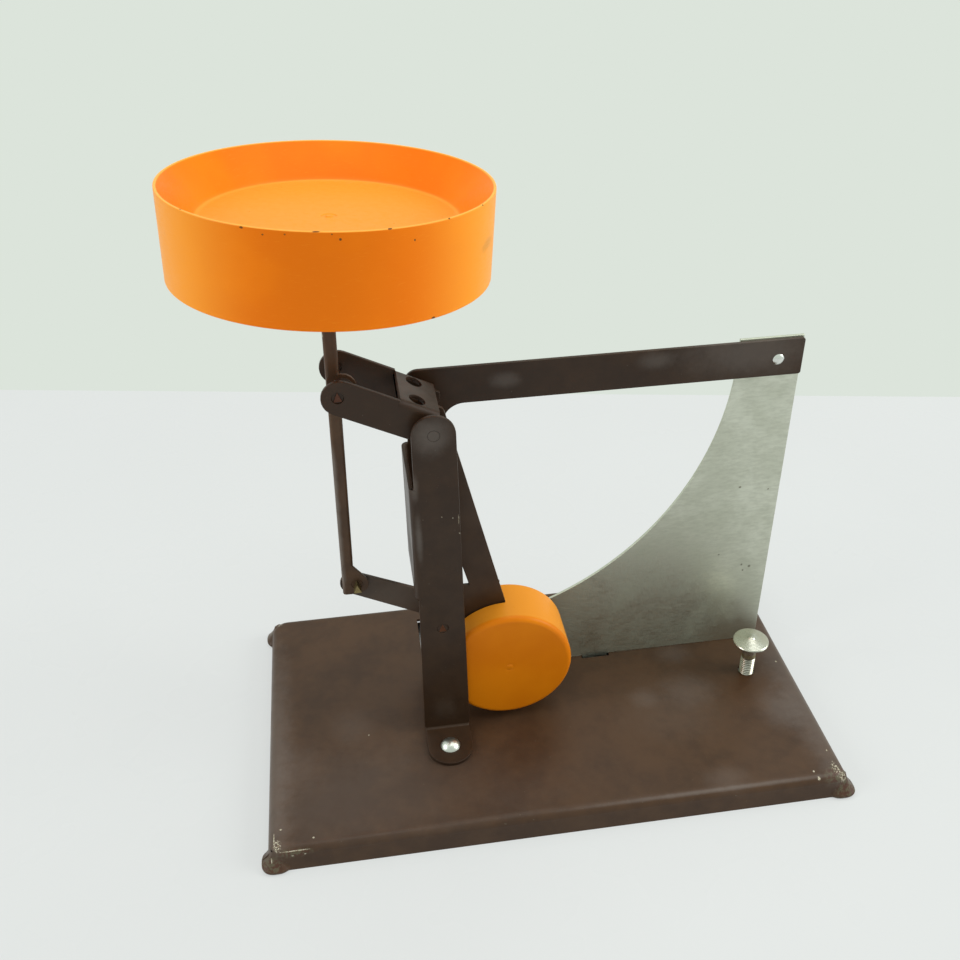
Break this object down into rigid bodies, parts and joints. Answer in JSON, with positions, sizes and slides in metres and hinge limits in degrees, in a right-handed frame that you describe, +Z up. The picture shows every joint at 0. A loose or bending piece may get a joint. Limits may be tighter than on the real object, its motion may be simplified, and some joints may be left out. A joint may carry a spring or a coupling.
{
  "type": "pendulum scale",
  "caption": "Small pan balance: a knife-edge parallelogram linkage carries a round dish and swings a disc weight past a curved scale plate.",
  "frame": {"origin": "on the table under the middle of the whole scale", "axes": "+X along the base towards the end with the levelling screw, +Y away from the front, +Z up"},
  "size_m": [0.2342, 0.1318, 0.2386],
  "materials": {
    "base_enamel": "soft sheen brown enamel",
    "frame_enamel": "soft sheen dark brown enamel",
    "rivet_aluminium": "bright, set by a hammer",
    "knife_brass": "dull",
    "knife_copper": "dull and reddish",
    "plate_aluminium": "cloudy satin",
    "bush_steel": "zinc grey",
    "orange_plastic": "soft gloss",
    "weight_steel": "plain",
    "hand_enamel": "red enamel",
    "screw_steel": "bright turned metal"
  },
  "bodies": {
    "frame": {"base_tray": "base_enamel", "pillar_frame": "frame_enamel", "foot_rivet": "rivet_aluminium", "tongue_rivet": "rivet_aluminium", "main_knife": "knife_brass", "lower_knife": "knife_brass", "scale_plate": "plate_aluminium", "plate_rivet": "rivet_aluminium", "screw_bush": "bush_steel"},
    "beam": {"beam_yoke": "frame_enamel", "beam_knife": "knife_copper", "pendulum_arm": "frame_enamel", "disc_cover": "orange_plastic", "weight_front": "weight_steel", "weight_back": "weight_steel", "weight_rivet": "rivet_aluminium", "index_hand": "hand_enamel"},
    "pan_stem": {"stem_channel": "frame_enamel", "stem_knife": "knife_copper", "pan_dish": "orange_plastic"},
    "link": {"link_strap": "frame_enamel"},
    "screw": {"levelling_screw": "screw_steel"}
  },
  "joints": [
    {"name": "beam_swing", "type": "hinge", "parent": "frame", "child": "beam", "pos_m": [-0.03786, 0.0024, 0.1525], "axis": [0, -1, 0], "range_deg": [-3, 60]},
    {"name": "stem_swing", "type": "hinge", "parent": "beam", "child": "pan_stem", "pos_m": [-0.06849, 0.0024, 0.16771], "axis": [0, -1, 0], "range_deg": [-60, 3]},
    {"name": "link_swing", "type": "hinge", "parent": "frame", "child": "link", "pos_m": [-0.03786, 0.0024, 0.0665], "axis": [0, -1, 0], "range_deg": [-3, 60]},
    {"name": "screw_lift", "type": "slide", "parent": "frame", "child": "screw", "axis": [0, 0, 1], "range_m": [-0.004, 0.006]}
  ],
  "couplings": [
    {"joint": "stem_swing", "follows": "beam_swing", "ratio": -1},
    {"joint": "link_swing", "follows": "beam_swing", "ratio": 1}
  ]
}
